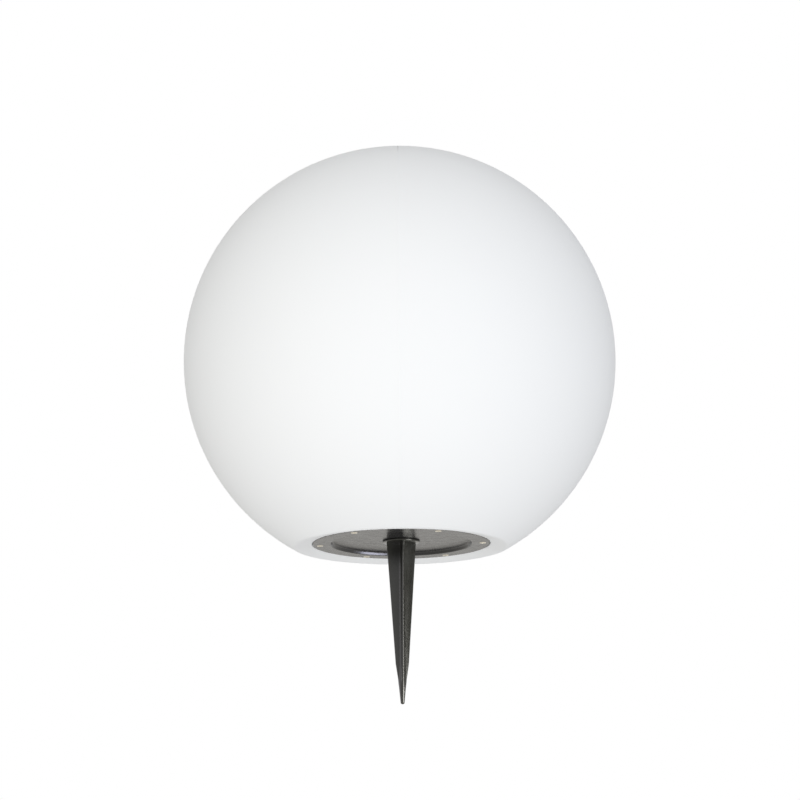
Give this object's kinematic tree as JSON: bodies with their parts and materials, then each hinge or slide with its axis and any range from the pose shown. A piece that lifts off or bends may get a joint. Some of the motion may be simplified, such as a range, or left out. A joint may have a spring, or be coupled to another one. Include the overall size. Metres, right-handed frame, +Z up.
{
  "type": "garden globe light",
  "caption": "White plastic ball lamp on a black dished base plate that plugs onto a cross-finned ground spike, with a screw lampholder and a bulb inside.",
  "frame": {"origin": "on the lamp's axis at ground level, in the plane of the ball's rim", "axes": "+Z up along the lamp's axis; -Y is the front, where the ball's parting line faces; the cable gland is at the back, +Y"},
  "size_m": [0.4998, 0.4998, 0.6455],
  "materials": {
    "globe": "satin blow-moulded polyethylene",
    "plate": "glossy injection-moulded plastic",
    "spike": "fine moulded texture",
    "black_nylon": "moulded nylon",
    "rubber": "matt",
    "steel": "stainless, turned and pressed",
    "zinc_steel": "zinc-plated sheet",
    "brass": "turned",
    "holder": "moulded thermoset",
    "carrier": "steatite",
    "block": "moulded polyamide",
    "brown_wire": "extruded insulation",
    "blue_wire": "extruded insulation",
    "bulb_dome": "opal",
    "bulb_housing": "moulded",
    "nickel": "nickel-plated brass",
    "black_glass": "glossy",
    "circuit_board": "white solder mask",
    "chips": "phosphor",
    "green_board": "circuit board"
  },
  "bodies": {
    "spike": {"ground_spike": "spike"},
    "base": {"base_plate": "plate", "base_gasket": "rubber", "plate_screws": "steel", "gland_body": "black_nylon", "gland_washer": "rubber", "gland_nut": "black_nylon", "gland_seal": "rubber", "gland_cap": "black_nylon", "holder_bracket": "zinc_steel", "bracket_screws": "zinc_steel", "holder_base": "holder", "holder_screws": "zinc_steel", "contact_carrier": "carrier", "holder_mouth": "holder", "thread_sleeve": "brass", "centre_contact": "brass", "holder_terminals": "brass", "holder_terminal_screws": "zinc_steel", "terminal_block": "block", "terminal_tubes": "brass", "terminal_screws": "zinc_steel", "block_screw": "zinc_steel", "wire_live": "brown_wire", "wire_neutral": "blue_wire"},
    "globe": {"globe_diffuser": "globe", "thread_inserts": "brass"},
    "bulb": {"bulb_dome": "bulb_dome", "bulb_housing": "bulb_housing", "bulb_cap": "nickel", "bulb_insulator": "black_glass", "bulb_contact": "nickel", "led_board": "circuit_board", "led_chips": "chips", "driver_board": "green_board"}
  },
  "joints": [
    {"name": "lamp_lift", "type": "slide", "parent": "spike", "child": "base", "axis": [0, 0, 1], "range_m": [0, 0.06]},
    {"name": "globe_release", "type": "slide", "parent": "base", "child": "globe", "axis": [0, 0, 1], "range_m": [0, 0.2]},
    {"name": "bulb_out", "type": "slide", "parent": "base", "child": "bulb", "axis": [0, 0, 1], "range_m": [0, 0.03]}
  ]
}
